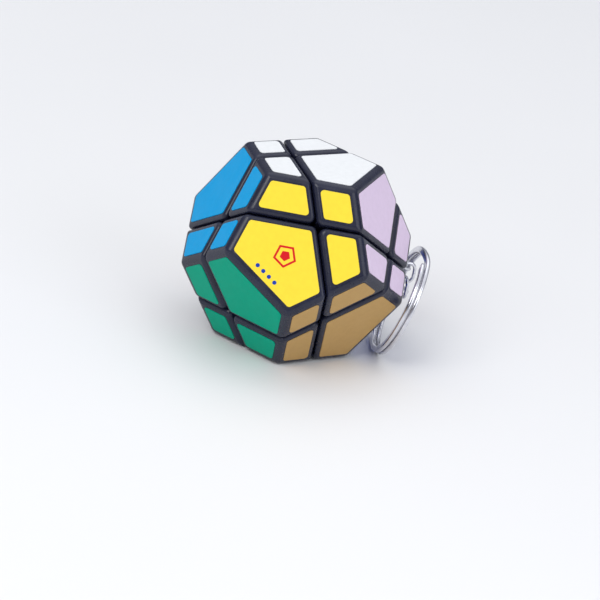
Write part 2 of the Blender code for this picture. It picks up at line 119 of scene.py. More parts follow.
# Heights of the inner parts are from the puzzle's centre, along an axis.
CORE_RADIUS = 10.8 * MM
BORE_RADIUS = 1.2 * MM
BORE_BOTTOM = 5.2 * MM
SCREW_RADIUS = 0.9 * MM
SCREW_TIP = 5.5 * MM
SCREW_TIP_SHARE = 0.35       # of the shank's radius
SCREW_TIP_LENGTH = 1.0 * MM  # height in which the tip would grow by a whole radius
SCREW_HEAD_BOTTOM = 18.6 * MM
SCREW_HEAD_RADIUS = 1.9 * MM
SCREW_HEAD = 1.2 * MM
SCREW_HEAD_CROWN = 0.6 * MM
SCREW_HEAD_EDGE = 0.1 * MM
CROSS_LENGTH = 1.9 * MM
CROSS_WIDTH = 0.45 * MM
CROSS_DEPTH = 0.7 * MM
CROSS_TAPER = 0.55           # of its width and length, at the bottom
THREAD_PITCH = 0.55 * MM
THREAD_DEPTH = 0.16 * MM
THREAD_TOP = 10.2 * MM
SPRING_RADIUS = 1.62 * MM    # to the middle of the wire
SPRING_WIRE = 0.2 * MM
SPRING_BOTTOM = 13.9 * MM
SPRING_HEIGHT = 3.4 * MM
SPRING_TURNS = 4
SPRING_END_FLATTENING = 0.55
WASHER_RADIUS = 2.1 * MM
WASHER_BOTTOM = 17.8 * MM
WASHER_THICKNESS = 0.5 * MM
WASHER_EDGE = 0.12 * MM

# ---------------------------------------------------------------- geometry of the puzzle

GOLDEN = (1 + math.sqrt(5)) / 2
FACE_TO_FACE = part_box("edge_piece_12_shell")[1].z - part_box("edge_piece_34_shell")[0].z
INRADIUS = FACE_TO_FACE / 2
HALF_CUBE = INRADIUS * math.hypot(1, GOLDEN) / GOLDEN ** 2
FACES = [
    Vector(n).normalized()
    for a in (1, -1)
    for b in (1, -1)
    for n in ((a, 0, b * GOLDEN), (a * GOLDEN, b, 0), (0, a * GOLDEN, b))
]
CORNERS = [Vector(c) for c in ((1, 1, 1), (1, -1, -1), (-1, 1, -1), (-1, -1, 1))]
AXES = [corner.normalized() for corner in CORNERS]

UP = Vector((GOLDEN, 1, 0)).normalized()
FRONT = Vector((1, 0, GOLDEN)).normalized()
BACK = (UP * FRONT.dot(UP) - FRONT).normalized()
CENTRE = Vector(JOINTS["turn_axis_1"]["pos_m"])
PUZZLE = Matrix.Translation(CENTRE) @ Matrix((BACK.cross(UP), BACK, UP)).to_4x4()
UPWARD = Vector((0, 0, 1))

# Each edge piece by the cube's face that it caps.
EDGE_PIECES = {
    (1, 0, 0): "edge_piece_12",
    (-1, 0, 0): "edge_piece_34",
    (0, 1, 0): "edge_piece_13",
    (0, -1, 0): "edge_piece_24",
    (0, 0, 1): "edge_piece_14",
    (0, 0, -1): "edge_piece_23",
}
HALF_TURNS = [Matrix.Identity(4)] + [Matrix.Rotation(math.pi, 4, axis) for axis in "XYZ"]
THIRD_TURN = Matrix.Rotation(math.radians(120), 4, AXES[0])
SHELL_PLACES = {
    "edge_piece_12": HALF_TURNS[0],
    "edge_piece_34": HALF_TURNS[3],
    "edge_piece_13": THIRD_TURN,
    "edge_piece_24": HALF_TURNS[1] @ THIRD_TURN,
    "edge_piece_14": THIRD_TURN @ THIRD_TURN,
    "edge_piece_23": HALF_TURNS[1] @ THIRD_TURN @ THIRD_TURN,
}
for number, turn in enumerate(HALF_TURNS, 1):
    SHELL_PLACES[f"fixed_corner_{number}"] = turn
    SHELL_PLACES[f"free_corner_{number}"] = turn

# The way each kind of piece faces, and the cuts that bound it, as (axis, side).
KINDS = {
    "fixed_corner": (AXES[0], [(AXES[1], -1), (AXES[2], -1), (AXES[3], -1)]),
    "free_corner": (-AXES[0], [(AXES[1], 1), (AXES[2], 1), (AXES[3], 1)]),
    "edge_piece": (
        Vector((1, 0, 0)),
        [(AXES[0], 1), (AXES[1], 1), (AXES[2], -1), (AXES[3], -1)],
    ),
}

# ---------------------------------------------------------------- colours

# Label colours by face, as the signs of (x, y, z) in puzzle axes.
FACE_COLOURS = {
    (1, 0, 1): "yellow",
    (1, 1, 0): "white",
    (0, 1, 1): "sky_blue",
    (-1, 0, 1): "green",
    (0, -1, 1): "tan",
    (1, -1, 0): "lilac",
    (1, 0, -1): "red",
    (-1, 0, -1): "orange",
    (-1, 1, 0): "grey",
    (-1, -1, 0): "pink",
    (0, 1, -1): "light_green",
    (0, -1, -1): "dark_blue",
}
COLOURS = {
    "yellow": (0.87, 0.66, 0.05),
    "white": (0.80, 0.815, 0.83),
    "sky_blue": (0.001, 0.315, 0.66),
    "green": (0.0005, 0.335, 0.205),
    "tan": (0.47, 0.295, 0.113),
    "lilac": (0.70, 0.57, 0.74),
    "red": (0.62, 0.014, 0.02),
    "orange": (0.90, 0.22, 0.01),
    "pink": (0.83, 0.20, 0.42),
    "grey": (0.30, 0.31, 0.33),
    "light_green": (0.27, 0.60, 0.05),
    "dark_blue": (0.012, 0.05, 0.36),
}

# ---------------------------------------------------------------- materials

# Scales of the noise.
FLOW_MARKS = 160
POLISH_PATCHES = 420
MOULD_GRAIN = 6500
PRINT_MOTTLE = 900
VINYL_PATCHES = 260
ORANGE_PEEL = 1500
VINYL_GRAIN = 9000
METAL_CLOUD = 350
SCRATCHES = 2200
CROSS_SCRATCHES = 2600
FLOOR_MOTTLE = 3

NOISE_MIDDLE = (0.35, 0.65)  # most of the noise's values lie between these
PLASTIC_SPECULAR = 0.38
VINYL_SPECULAR = 0.07


def new_material(name):
    material = bpy.data.materials.new(name)
    material.use_nodes = True
    return material, material.node_tree, material.node_tree.nodes["Principled BSDF"]


def noise(tree, scale, detail=3.0, stretch=None):
    """Noise over the piece's own coordinates, with its scale in features a metre."""
    place = tree.nodes.new("ShaderNodeTexCoord").outputs["Object"]
    if stretch:
        mapping = tree.nodes.new("ShaderNodeMapping")
        mapping.inputs["Scale"].default_value = stretch
        tree.links.new(place, mapping.inputs["Vector"])
        place = mapping.outputs["Vector"]
    node = tree.nodes.new("ShaderNodeTexNoise")
    node.inputs["Scale"].default_value = scale
    node.inputs["Detail"].default_value = detail
    tree.links.new(place, node.inputs["Vector"])
    return node.outputs["Fac"]


def spread(tree, value, low, high):
    """The noise's middle range, spread from low to high."""
    node = tree.nodes.new("ShaderNodeMapRange")
    node.inputs["From Min"].default_value = NOISE_MIDDLE[0]
    node.inputs["From Max"].default_value = NOISE_MIDDLE[1]
    node.inputs["To Min"].default_value = low
    node.inputs["To Max"].default_value = high
    tree.links.new(value, node.inputs["Value"])
    return node.outputs["Result"]


def shade(colour, share):
    """The colour, darker or paler."""
    return tuple(min(1.0, channel * share) for channel in colour)


def tint(tree, shader, value, darkest, palest):
    """Base colour that varies with the noise from one colour to the other."""
    mix = tree.nodes.new("ShaderNodeMix")
    mix.data_type = "RGBA"
    mix.inputs["A"].default_value = (*darkest, 1)
    mix.inputs["B"].default_value = (*palest, 1)
    tree.links.new(spread(tree, value, 0, 1), mix.inputs["Factor"])
    tree.links.new(mix.outputs["Result"], shader.inputs["Base Color"])


def roughen(tree, shader, value, roughness):
    """Roughness that varies with the noise over a (smoothest, roughest) range."""
    tree.links.new(spread(tree, value, *roughness), shader.inputs["Roughness"])


def relief(tree, shader, layers):
    """Bump from (noise, depth in metres, strength), one on top of another."""
    below = None
    for height, depth, strength in layers:
        bump = tree.nodes.new("ShaderNodeBump")
        bump.inputs["Distance"].default_value = depth
        bump.inputs["Strength"].default_value = strength
        tree.links.new(height, bump.inputs["Height"])
        if below:
            tree.links.new(below, bump.inputs["Normal"])
        below = bump.outputs["Normal"]
    tree.links.new(below, shader.inputs["Normal"])


def moulded_plastic(name, colour, roughness):
    """Injection-moulded plastic: faint flow marks under a fine grain."""
    material, tree, shader = new_material(name)
    shader.inputs["Specular IOR Level"].default_value = PLASTIC_SPECULAR
    flow = noise(tree, FLOW_MARKS)
    grain = noise(tree, MOULD_GRAIN, 2)
    tint(tree, shader, flow, shade(colour, 0.85), shade(colour, 1.2))
    roughen(tree, shader, noise(tree, POLISH_PATCHES, 4), roughness)
    relief(tree, shader, [(flow, 0.02 * MM, 0.25), (grain, 0.003 * MM, 0.6)])
    return material


def label_vinyl(name, colour, roughness=(0.33, 0.45)):
    """Printed vinyl: an even colour with a faint mottle and a skin like orange peel."""
    material, tree, shader = new_material(name)
    shader.inputs["Specular IOR Level"].default_value = VINYL_SPECULAR
    peel = noise(tree, ORANGE_PEEL, 2)
    grain = noise(tree, VINYL_GRAIN, 2)
    tint(tree, shader, noise(tree, PRINT_MOTTLE, 4), shade(colour, 0.975), shade(colour, 1.015))
    roughen(tree, shader, noise(tree, VINYL_PATCHES), roughness)
    relief(tree, shader, [(peel, 0.01 * MM, 0.35), (grain, 0.004 * MM, 0.5)])
    return material


def plated_wire(name, colour, roughness):
    """Plated or drawn metal: cloudy polish, with fine scratches in two directions."""
    material, tree, shader = new_material(name)
    shader.inputs["Metallic"].default_value = 1.0
    scratches = noise(tree, SCRATCHES, 2, stretch=(1, 9, 1))
    cross_scratches = noise(tree, CROSS_SCRATCHES, 2, stretch=(8, 1, 2))
    tint(tree, shader, noise(tree, METAL_CLOUD), shade(colour, 0.9), shade(colour, 1.05))
    roughen(tree, shader, scratches, roughness)
    relief(tree, shader, [(scratches, 0.004 * MM, 0.3), (cross_scratches, 0.003 * MM, 0.3)])
    return material


MATERIALS = {
    # The shells' base colour is the plastic's own black with a blue tint added, a painted bluish
    # reflection of the surroundings.
    "puzzle_black": moulded_plastic("puzzle_black", (0.012, 0.014, 0.033), (0.22, 0.34)),
    "mechanism_black": moulded_plastic("mechanism_black", (0.02, 0.02, 0.022), (0.43, 0.55)),
    "core_white": moulded_plastic("core_white", (0.72, 0.72, 0.69), (0.37, 0.49)),
    "steel": plated_wire("steel", (0.55, 0.55, 0.57), (0.25, 0.37)),
    "chrome": plated_wire("chrome", (0.66, 0.66, 0.71), (0.11, 0.23)),
}
for colour_name, value in COLOURS.items():
    MATERIALS["label_" + colour_name] = label_vinyl("label_" + colour_name, value)

# ---------------------------------------------------------------- mesh helpers


def finish_mesh(name, bm):
    bmesh.ops.recalc_face_normals(bm, faces=bm.faces)
    mesh = bpy.data.meshes.new(name)
    bm.to_mesh(mesh)
    bm.free()
    return mesh


def add_piece(name, mesh, slot, body, replaces=(), sharp=30):
    """A finished piece that rides on a body. Its mesh is in world coordinates."""
    mesh.name = name
    mesh.materials.clear()
    mesh.materials.append(MATERIALS[slot])
    mesh.shade_smooth()
    mesh.set_sharp_from_angle(angle=math.radians(sharp))
    piece = bpy.data.objects.new(name, mesh)
    bpy.context.scene.collection.objects.link(piece)
    even_shading = piece.modifiers.new("even_shading", "WEIGHTED_NORMAL")
    even_shading.keep_sharp = True
    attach(piece, body)
    if replaces:
        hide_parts(*replaces)
    return piece


def evaluated(mesh, modifiers, place=None):
    """The mesh with modifiers applied, given as functions that add them to an object."""
    work = bpy.data.objects.new("work", mesh)
    bpy.context.scene.collection.objects.link(work)
    cutters = [modify(work) for modify in modifiers]
    bpy.context.view_layer.update()
    depsgraph = bpy.context.evaluated_depsgraph_get()
    result = bpy.data.meshes.new_from_object(work.evaluated_get(depsgraph))
    for obj in [work] + cutters:
        if obj:
            bpy.data.objects.remove(obj)
    if place:
        result.transform(place)
    return result


def bevel(width, segments, angle=25):
    """Bevel of every edge that turns by more than the angle, in degrees."""
    def modify(obj):
        modifier = obj.modifiers.new("bevel", "BEVEL")
        modifier.width = width
        modifier.segments = segments
        modifier.limit_method = "ANGLE"
        modifier.angle_limit = math.radians(angle)
    return modify


def boolean(mesh, operation="DIFFERENCE", use_self=False):
    """Boolean with the mesh, whose own solids may cross each other with use_self."""
    def modify(obj):
        cutter = bpy.data.objects.new("cutter", mesh)
        bpy.context.scene.collection.objects.link(cutter)
        modifier = obj.modifiers.new("boolean", "BOOLEAN")
        modifier.operation = operation
        modifier.solver = "EXACT"
        modifier.use_self = use_self
        modifier.object = cutter
        return cutter
    return modify


def cut_solid(planes, cuts=()):
    """Convex solid behind every (normal, distance) plane, round where two of the cuts meet."""
    bm = bmesh.new()
    larger_than_all = 4 * FACE_TO_FACE
    bmesh.ops.create_cube(bm, size=larger_than_all)
    for normal, distance in planes:
        everything = bm.verts[:] + bm.edges[:] + bm.faces[:]
        cut = bmesh.ops.bisect_plane(
            bm, geom=everything, plane_co=normal * distance, plane_no=normal, clear_outer=True
        )
        rim = [g for g in cut["geom_cut"] if isinstance(g, bmesh.types.BMEdge)]
        if rim:
            bmesh.ops.edgeloop_fill(bm, edges=rim)
    bmesh.ops.recalc_face_normals(bm, faces=bm.faces)
    for edge in list(bm.edges):
        if edge.is_valid and cuts and all(on_a_cut(face, cuts) for face in edge.link_faces):
            half_turn = edge.calc_face_angle() / 2
            bmesh.ops.bevel(bm, geom=[edge], offset=CORNER_ROUND * math.tan(half_turn),
                            segments=CORNER_SEGMENTS, profile=0.5, affect="EDGES")
    return finish_mesh("solid", bm)


def on_a_cut(face, cuts):
    return any(abs(face.normal.dot(cut)) > 0.9999 for cut, _ in cuts)


def ball(radius, detail=5):
    bm = bmesh.new()
    bmesh.ops.create_icosphere(bm, subdivisions=detail, radius=radius)
    return finish_mesh("ball", bm)


def full_turn(count, shift=0):
    """Angles evenly spaced round a circle, moved on by a share of one step."""
    return [2 * math.pi * (i + shift) / count for i in range(count)]


def join_rings(bm, rings, closed=False):
    """Quads from each ring of vertices to the next, and from the last to the first if closed."""
    following = rings[1:] + (rings[:1] if closed else [])
    for here, there in zip(rings, following):
        for i in range(len(here)):
            j = (i + 1) % len(here)
            bm.faces.new((here[i], here[j], there[j], there[i]))


def turned(profile, segments=48):
    """Solid of revolution about local Z. Its profile starts and ends on the axis."""
    bm = bmesh.new()
    rings = [
        [bm.verts.new((r * math.cos(a), r * math.sin(a), h)) for a in full_turn(segments)]
        for r, h in profile[1:-1]
    ]
    join_rings(bm, rings)
    for (_, height), ring in ((profile[0], rings[0]), (profile[-1], rings[-1])):
        pole = bm.verts.new((0, 0, height))
        for i in range(segments):
            bm.faces.new((pole, ring[i], ring[(i + 1) % segments]))
    return finish_mesh("turned", bm)


def cylinder(radius, low, high, segments=48):
    return turned([(0, low), (radius, low), (radius, high), (0, high)], segments)


def swept(path, sections, closed):
    """Tube whose cross-section at each path point is a ring of offsets."""
    bm = bmesh.new()
    rings = [[bm.verts.new(p + offset) for offset in ring] for p, ring in zip(path, sections)]
    join_rings(bm, rings, closed)
    if not closed:
        bm.faces.new(rings[0])
        bm.faces.new(reversed(rings[-1]))
    return finish_mesh("swept", bm)


def frame_at(origin, x_axis, z_axis):
    """Placement with the given origin, local X and local Z."""
    y_axis = z_axis.cross(x_axis)
    return Matrix.Translation(origin) @ Matrix((x_axis, y_axis, z_axis)).transposed().to_4x4()


# ---------------------------------------------------------------- shells


def shell_inner_radius():
    """Radius of the ball-shaped layer that every shell ends on, read from the frame."""
    vertices = frame["nodes"]["edge_piece_12_shell"].data.vertices
    return min((vertex.co - CENTRE).length for vertex in vertices)


def shell_mesh(kind, inner_radius):
    """One kind of shell in puzzle axes, hollow and open towards the centre."""
    axis, cuts = KINDS[kind]

    def planes(inset_by, base):
        found = [(n, INRADIUS - LABEL_THICKNESS - inset_by) for n in FACES]
        found += [(-side * cut, -CUT_GAP / 2 - inset_by) for cut, side in cuts]
        return found + [(-axis, -base)]

    outer = cut_solid(planes(0, SHELL_BASE * inner_radius), cuts)
    hollow = cut_solid(planes(SHELL_WALL, HOLLOW_BASE * inner_radius))
    return evaluated(outer, [
        bevel(EDGE_ROUND, EDGE_SEGMENTS),
        boolean(hollow),
        boolean(ball(inner_radius)),
    ])


def add_shells(hole):
    inner_radius = shell_inner_radius()
    for kind in KINDS:
        mesh = shell_mesh(kind, inner_radius)
        for body, turn in SHELL_PLACES.items():
            if not body.startswith(kind):
                continue
            own = mesh.copy()
            own.transform(PUZZLE @ turn)
            if body == "fixed_corner_2":
                own = evaluated(own, [boolean(hole)])
            add_piece(body + "_case", own, "puzzle_black", body, [body + "_shell"])


# ---------------------------------------------------------------- labels

# A face is drawn in two directions from the middle of its cube edge: along that edge, and
# square to it towards the roof edge. The unit is half the cube's edge.
TALL, REACH = 2 * math.sin(math.radians(36)), math.cos(math.radians(36))
LEAN = REACH * math.tan(math.radians(36))
ROOF = 1 / GOLDEN
TIP = -math.tan(math.radians(36))
LARGE = [(0, 0), (REACH, LEAN), (ROOF, TALL), (-ROOF, TALL), (-REACH, LEAN)]
SMALL = [(0, 0), (-0.5, TIP / 2), (0, TIP), (0.5, TIP / 2)]
KITE = [(0, 0), (0.5, TIP / 2), (1, 0), (REACH, LEAN)]


def inset(polygon, margin):
    """Counter-clockwise polygon with every side moved inwards by the margin."""
    count = len(polygon)
    lines = []
    for i, point in enumerate(polygon):
        along = (polygon[(i + 1) % count] - point).normalized()
        inward = Vector((-along.y, along.x))
        lines.append((point + inward * margin, along))
    corners = []
    for i in range(count):
        (p, d), (q, e) = lines[i - 1], lines[i]
        share = (q - p).cross(e) / d.cross(e)
        corners.append(p + d * share)
    return corners


def rounded(polygon, radius, step=math.radians(9)):
    """Outline of the polygon with each corner as an arc."""
    outline = []
    for i, corner in enumerate(polygon):
        back = (polygon[i - 1] - corner).normalized()
        on = (polygon[(i + 1) % len(polygon)] - corner).normalized()
        half = back.angle(on) / 2
        middle = corner + (back + on).normalized() * radius / math.sin(half)
        sweep = math.pi - 2 * half
        pieces = max(4, round(sweep / step))
        start = Vector((back.y, -back.x)) if back.cross(on) > 0 else Vector((-back.y, back.x))
        if start.dot(corner - middle) < 0:
            start = -start
        for k in range(pieces + 1):
            turn = Matrix.Rotation(sweep * k / pieces, 2)
            outline.append(middle + turn @ start * radius)
    return outline


def label_mesh(polygon, place):
    """Thin solid with a rounded top edge; its top is in the plane of the face."""
    outline = inset(polygon, LABEL_MARGIN)
    levels = [(0, -LABEL_THICKNESS - LABEL_SINK)]
    for k in range(LABEL_EDGE_STEPS + 1):
        angle = math.pi / 2 * k / LABEL_EDGE_STEPS
        levels.append((LABEL_EDGE * (1 - math.cos(angle)), LABEL_EDGE * (math.sin(angle) - 1)))
    bm = bmesh.new()
    rings = []
    for shrink, height in levels:
        ring = rounded(inset(outline, shrink), LABEL_CORNER - shrink)
        rings.append([bm.verts.new((p.x, p.y, height)) for p in ring])
    join_rings(bm, rings)
    bm.faces.new(reversed(rings[0]))
    bm.faces.new(rings[-1])
    mesh = finish_mesh("label", bm)
    mesh.transform(place)
    return mesh


def sign(value):
    return (value > 0.01) - (value < -0.01)


def face_parts(normal):
    """The middle of a face's cube edge, the cube's face under the large label, the edge's
    direction, and the placement of the face's drawing."""
    edge = Vector([sign(c) for c in normal])
    sizes = [abs(c) for c in normal]
    near = Vector([s if abs(c) == max(sizes) else 0 for s, c in zip(edge, normal)])
    roof = (near * GOLDEN - edge).normalized()
    along = roof.cross(normal)
    return edge, near, along, PUZZLE @ frame_at(edge * HALF_CUBE, along, normal)


def corner_piece(corner):
    """The body at a corner of the cube: fixed at a turning axis, and free opposite one."""
    for number, fixed in enumerate(CORNERS, 1):
        if (corner - fixed).length < 0.1:
            return f"fixed_corner_{number}"
        if (corner + fixed).length < 0.1:
            return f"free_corner_{number}"


def edge_piece(cube_face):
    return EDGE_PIECES[tuple(round(c) for c in cube_face)]


def add_labels(hole):
    for normal in FACES:
        edge, near, along, place = face_parts(normal)
        colour = FACE_COLOURS[tuple(round(c) for c in edge)]
        owners = [
            (edge_piece(near), "large", LARGE, 1),
            (edge_piece(edge - near), "small", SMALL, 1),
        ]
        for side in (1, -1):
            owners.append((corner_piece(edge + along * side), "corner", KITE, side))
        for body, form, shape, side in owners:
            polygon = [Vector((x * side, y)) * HALF_CUBE for x, y in shape]
            if side < 0:
                polygon.reverse()
            mesh = label_mesh(polygon, place)
            if body == "fixed_corner_2" and colour == "dark_blue":
                mesh = evaluated(mesh, [boolean(hole)])
            add_piece(f"{body}_label_{colour}_{form}", mesh, "label_" + colour, body, sharp=50)


def circle(middle, radius, count, shift=0):
    """Points of a face, counter-clockwise from the roof's side of the middle."""
    return [middle + radius * Vector((-math.sin(a), math.cos(a))) for a in full_turn(count, shift)]


def add_printed_motif():
    """A pentagon inside an outlined pentagon, and a row of dots, on one large label."""
    place = face_parts(FRONT)[-1]
    middle = Vector((0, MOTIF_HEIGHT * HALF_CUBE))
    outline = [circle(middle, radius, 5, 0.5) for radius in (MOTIF_RADIUS, MOTIF_RADIUS - MOTIF_LINE)]
    prints = [("pentagon_outline", outline, "label_red"),
              ("pentagon_middle", [circle(middle, MOTIF_MIDDLE_RADIUS, 5, 0.5)], "label_red")]
    large = inset([Vector(p) * HALF_CUBE for p in LARGE], LABEL_MARGIN + DOT_MARGIN)
    side_middle, side = (large[2] + large[3]) / 2, (large[3] - large[2]).normalized()
    for number in range(DOTS):
        spot = side_middle + side * DOT_SPACING * (number - (DOTS - 1) / 2)
        prints.append((f"dot_{number + 1}", [circle(spot, DOT_RADIUS, DOT_POINTS)], "label_dark_blue"))
    for name, outlines, ink in prints:
        add_piece("printed_" + name, film(outlines, place), ink, "edge_piece_14", sharp=20)


def film(outlines, place):
    """Layer of ink inside the first outline, and outside the second if there is one."""
    bm = bmesh.new()
    rings = []
    for outline in outlines:
        for height in (0, INK) if outline is outlines[0] else (INK, 0):
            rings.append([bm.verts.new((p.x, p.y, height)) for p in outline])
    has_hole = len(outlines) == 2
    join_rings(bm, rings, closed=has_hole)
    if not has_hole:
        bm.faces.new(rings[0])
        bm.faces.new(rings[-1])
    mesh = finish_mesh("film", bm)
    mesh.transform(place)
    return mesh


# ---------------------------------------------------------------- key chain

EYE_FACE = (PUZZLE.to_3x3() @ Vector((0, -GOLDEN, -1))).normalized()
EYE_ALONG = UPWARD.cross(EYE_FACE).normalized()
EYE_SPOT = Vector(JOINTS["chain_link_1_swing"]["pos_m"]) - EYE_FACE * (EYE_STAND_OFF + EYE_RADIUS)


def round_section(tangent, normal, radius, sides):
    """Offsets of a round wire's section, square to its tangent."""
    other = tangent.cross(normal).normalized()
    inward = other.cross(tangent).normalized()
    return [inward * radius * math.cos(a) + other * radius * math.sin(a)
            for a in full_turn(sides, 0.5)]


def wire_loop(points, radius, closed, sides=16):
    """Round wire through points in local XZ."""
    sections = []
    last = len(points) - 1
    for i in range(len(points)):
        if closed:
            ahead, behind = points[(i + 1) % len(points)], points[i - 1]
        else:
            ahead, behind = points[min(i + 1, last)], points[max(i - 1, 0)]
        tangent = (ahead - behind).normalized()
        inward = Vector((0, 1, 0)).cross(tangent)
        sections.append(round_section(tangent, inward, radius, sides))
    return swept(points, sections, closed)


def oval(length, width, slit, steps_per_end=20):
    """Points of an oval with its long way along Z, open by the slit on one long side."""
    bend = width / 2
    straight = (length - width) / 2
    points = [Vector((bend, 0, slit / 2))]
    for end in (0, 1):
        for i in range(steps_per_end + 1):
            angle = math.pi * (end + i / steps_per_end)
            rise = straight if end == 0 else -straight
            points.append(Vector((bend * math.cos(angle), 0, rise + bend * math.sin(angle))))
    points.append(Vector((bend, 0, -slit / 2)))
    return points


def eyelet_hole():
    """Hole for the rivet's shank, through the label and the shell's wall."""
    mesh = cylinder(SHANK_RADIUS + SHANK_FIT, -3 * SHELL_WALL, SHELL_WALL, 32)
    mesh.transform(frame_at(EYE_SPOT, EYE_ALONG, EYE_FACE))
    return mesh


def add_eyelet():
    """Wire eye on a rivet: a domed flange outside, a shank, and a flange behind the wall."""
    middle = Vector((0, 0, EYE_STAND_OFF))
    eye = [middle + EYE_RADIUS * Vector((math.cos(a), 0, math.sin(a)))
           for a in full_turn(EYE_POINTS)]
    inside = -SHELL_WALL - LABEL_THICKNESS
    neck = EYE_STAND_OFF - EYE_RADIUS
    inner_flat, inner_side = 0.8 * FLANGE_RADIUS, 0.6 * FLANGE
    profile = [
        (0, inside - FLANGE),
        (inner_flat, inside - FLANGE),
        (FLANGE_RADIUS, inside - inner_side),
        (FLANGE_RADIUS, inside),
        (SHANK_RADIUS, inside),
        (SHANK_RADIUS, 0),
        (FLANGE_RADIUS - FLANGE_LIP, 0),
    ]
    steps = 6
    for k in range(steps + 1):
        angle = math.pi / 2 * k / steps
        profile.append((
            SHANK_RADIUS + (FLANGE_RADIUS - SHANK_RADIUS) * math.cos(angle),
            FLANGE_LIP + (FLANGE - FLANGE_LIP) * math.sin(angle),
        ))
    profile += [(SHANK_RADIUS, neck), (0, neck)]
    mesh = evaluated(wire_loop(eye, EYE_WIRE, True), [boolean(turned(profile), "UNION")],
                     frame_at(EYE_SPOT, EYE_ALONG, EYE_FACE))
    add_piece("eyelet_wire", mesh, "chrome", "fixed_corner_2", ["eyelet"])


def add_links():
    """Two links that hang in turn square to each other, the first one from the eye."""
    level = EYE_ALONG.cross(UPWARD)
    held_by = EYE_WIRE
    for number, wide in ((1, level), (2, EYE_ALONG)):
        hook = Vector(JOINTS[f"chain_link_{number}_swing"]["pos_m"])
        top = hook + UPWARD * (held_by + LINK_PLAY + LINK_WIRE)
        mesh = wire_loop(oval(LINK_LENGTH, LINK_WIDTH, LINK_SLIT), LINK_WIRE, False)
        mesh.transform(frame_at(top - UPWARD * LINK_LENGTH / 2, wide, UPWARD))
        name = f"chain_link_{number}"
        add_piece(name + "_wire", mesh, "chrome", name, [name])
        held_by = LINK_WIRE


def ring_placing():
    """The split ring's centre and its axis."""
    joint = JOINTS["split_ring_turn"]
    return Vector(joint["pos_m"]), Vector(joint["axis"]).normalized()


def add_end_link():
    """Longer link from the last small link's lower end, laid over to hold the ring's wire."""
    centre, axis = ring_placing()
    hook = Vector(JOINTS["end_link_swing"]["pos_m"])
    tip = hook + UPWARD * (LINK_WIRE + LINK_PLAY + END_LINK_WIRE)
    away = tip - centre
    out = (away - axis * away.dot(axis)).normalized()
    long_way = axis * math.cos(END_LINK_TURN) + out * math.sin(END_LINK_TURN)
    wide = axis.cross(out).cross(long_way)
    mesh = wire_loop(oval(END_LINK_LENGTH, END_LINK_WIDTH, LINK_SLIT), END_LINK_WIRE, False)
    mesh.transform(frame_at(tip - long_way * END_LINK_LENGTH / 2, wide, long_way))
    add_piece("end_link_wire", mesh, "chrome", "end_link", ["end_link"])


def ring_wire_section(out, axis, size):
    """Flat wire with round corners, square to the coil."""
    offsets = []
    wide, thick = RING_BAND / 2 - RING_WIRE_ROUND, RING_WIRE / 2 - RING_WIRE_ROUND
    for quarter, (a, b) in enumerate(((1, 1), (-1, 1), (-1, -1), (1, -1))):
        for k in range(RING_ROUND_STEPS + 1):
            angle = math.pi / 2 * (quarter + k / RING_ROUND_STEPS)
            across = a * wide + RING_WIRE_ROUND * math.cos(angle)
            along = b * thick + RING_WIRE_ROUND * math.sin(angle)
            offsets.append((out * across + axis * along) * size)
    return offsets


def add_split_ring():
    """Two coils of flat wire, drawn about local Z from its highest point."""
    centre, axis = ring_placing()
    highest = (UPWARD - axis * UPWARD.dot(axis)).normalized()
    middle = RING_OUTER_RADIUS - RING_BAND / 2
    crossing = RING_CROSSING / 2
    start, end = crossing, 4 * math.pi - crossing
    path, sections = [], []
    for i in range(RING_STEPS + 1):
        angle = start + (end - start) * i / RING_STEPS
        out = Vector((math.cos(angle), math.sin(angle), 0))
        share = min(max((angle - 2 * math.pi + crossing) / (2 * crossing), 0), 1)
        height = RING_COIL_PITCH * (share * share * (3 - 2 * share) - 0.5)
        path.append(out * middle + Vector((0, 0, height)))
        from_end = min(i, RING_STEPS - i, len(RING_END_SIZES) - 1)
        sections.append(ring_wire_section(out, UPWARD, RING_END_SIZES[from_end]))
    mesh = swept(path, sections, False)
    mesh.transform(frame_at(centre, highest, axis))
    add_piece("split_ring_wire", mesh, "chrome", "split_ring", ["split_ring"])


# ---------------------------------------------------------------- inner parts


def axis_frame(axis):
    """Placement whose local Z is the axis."""
    side = axis.orthogonal().normalized()
    return Matrix((side, axis.cross(side), axis)).transposed().to_4x4()


def round_edge(radius, height, size, top, steps=4):
    """Profile points, going up, that round a turned solid's top or bottom edge."""
    points = []
    for k in range(steps + 1):
        angle = math.pi / 2 * k / steps
        if top:
            r, h = radius - size * (1 - math.cos(angle)), height - size * (1 - math.sin(angle))
        else:
            r, h = radius - size * (1 - math.sin(angle)), height + size * (1 - math.cos(angle))
        points.append((r, h))
    return points


def threaded_shank():
    """Rod with a rolled thread on its lower part and a pointed tip."""
    segments, rows = 40, 150
    low, high = SCREW_TIP, SCREW_HEAD_BOTTOM + SCREW_HEAD / 4
    bm = bmesh.new()
    rings = []
    for row in range(rows + 1):
        height = low + (high - low) * row / rows
        taper = min(1, SCREW_TIP_SHARE + (height - low) / SCREW_TIP_LENGTH)
        depth = THREAD_DEPTH * min(1, max(0, (THREAD_TOP - height) / THREAD_PITCH))
        ring = []
        for angle in full_turn(segments):
            phase = (height / THREAD_PITCH - angle / (2 * math.pi)) % 1
            radius = taper * (SCREW_RADIUS - depth * (1 - abs(2 * phase - 1)))
            ring.append(bm.verts.new((radius * math.cos(angle), radius * math.sin(angle), height)))
        rings.append(ring)
    join_rings(bm, rings)
    bm.faces.new(reversed(rings[0]))
    bm.faces.new(rings[-1])
    return finish_mesh("shank", bm)


